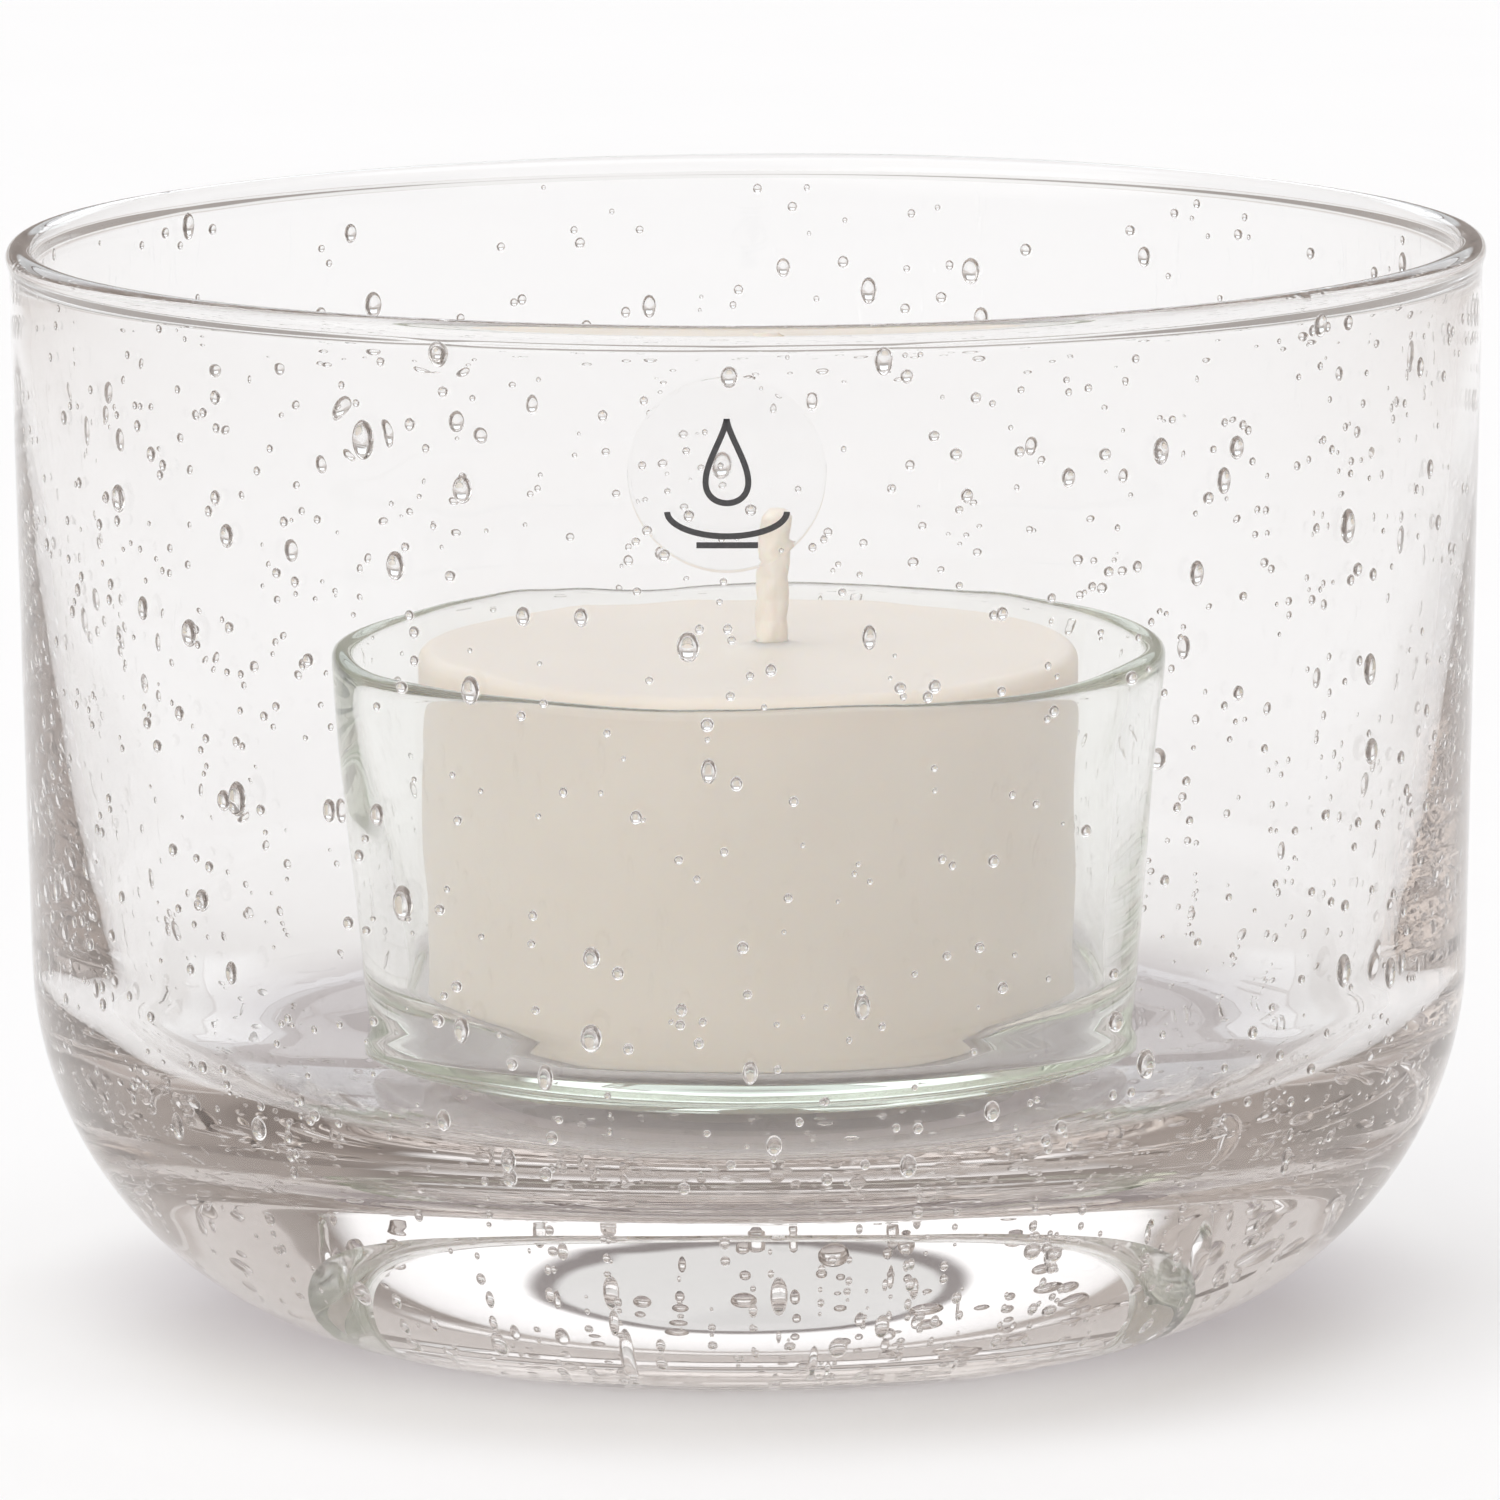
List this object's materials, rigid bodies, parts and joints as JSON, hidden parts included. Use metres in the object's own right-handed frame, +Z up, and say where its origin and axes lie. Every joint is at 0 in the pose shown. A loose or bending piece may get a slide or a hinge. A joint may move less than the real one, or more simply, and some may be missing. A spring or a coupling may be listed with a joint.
{
  "type": "tealight holder",
  "caption": "Heavy seeded-glass bowl with a rounded base, holding a small clear glass cup and a loose wax tealight with its wick.",
  "frame": {"origin": "centre of the bowl's foot, on the surface it stands on", "axes": "+Z up along the bowl's axis, -Y towards the front with the sticker, +X to the right seen from the front"},
  "size_m": [0.085, 0.085, 0.0635],
  "materials": {
    "seeded_glass": "clear soda-lime glass full of small round seeds, fire polished",
    "cup_glass": "clear pressed glass with a faint green tint",
    "label_film": "clear gloss film with a thin dark line mark",
    "wax": "off-white paraffin wax, satin, slightly mottled",
    "wick_cotton": "braided cotton stiff with wax",
    "tinned_steel": "tinned sheet steel"
  },
  "bodies": {
    "bowl": {"glass_bowl": "seeded_glass", "label": "label_film"},
    "cup": {"tealight_cup": "cup_glass"},
    "candle": {"wax": "wax", "wick": "wick_cotton", "wick_sustainer": "tinned_steel"}
  },
  "joints": [
    {"name": "cup_lift", "type": "slide", "parent": "bowl", "child": "cup", "axis": [0, 0, 1], "range_m": [0, 0.055]},
    {"name": "candle_lift", "type": "slide", "parent": "cup", "child": "candle", "axis": [0, 0, 1], "range_m": [0, 0.028]}
  ]
}
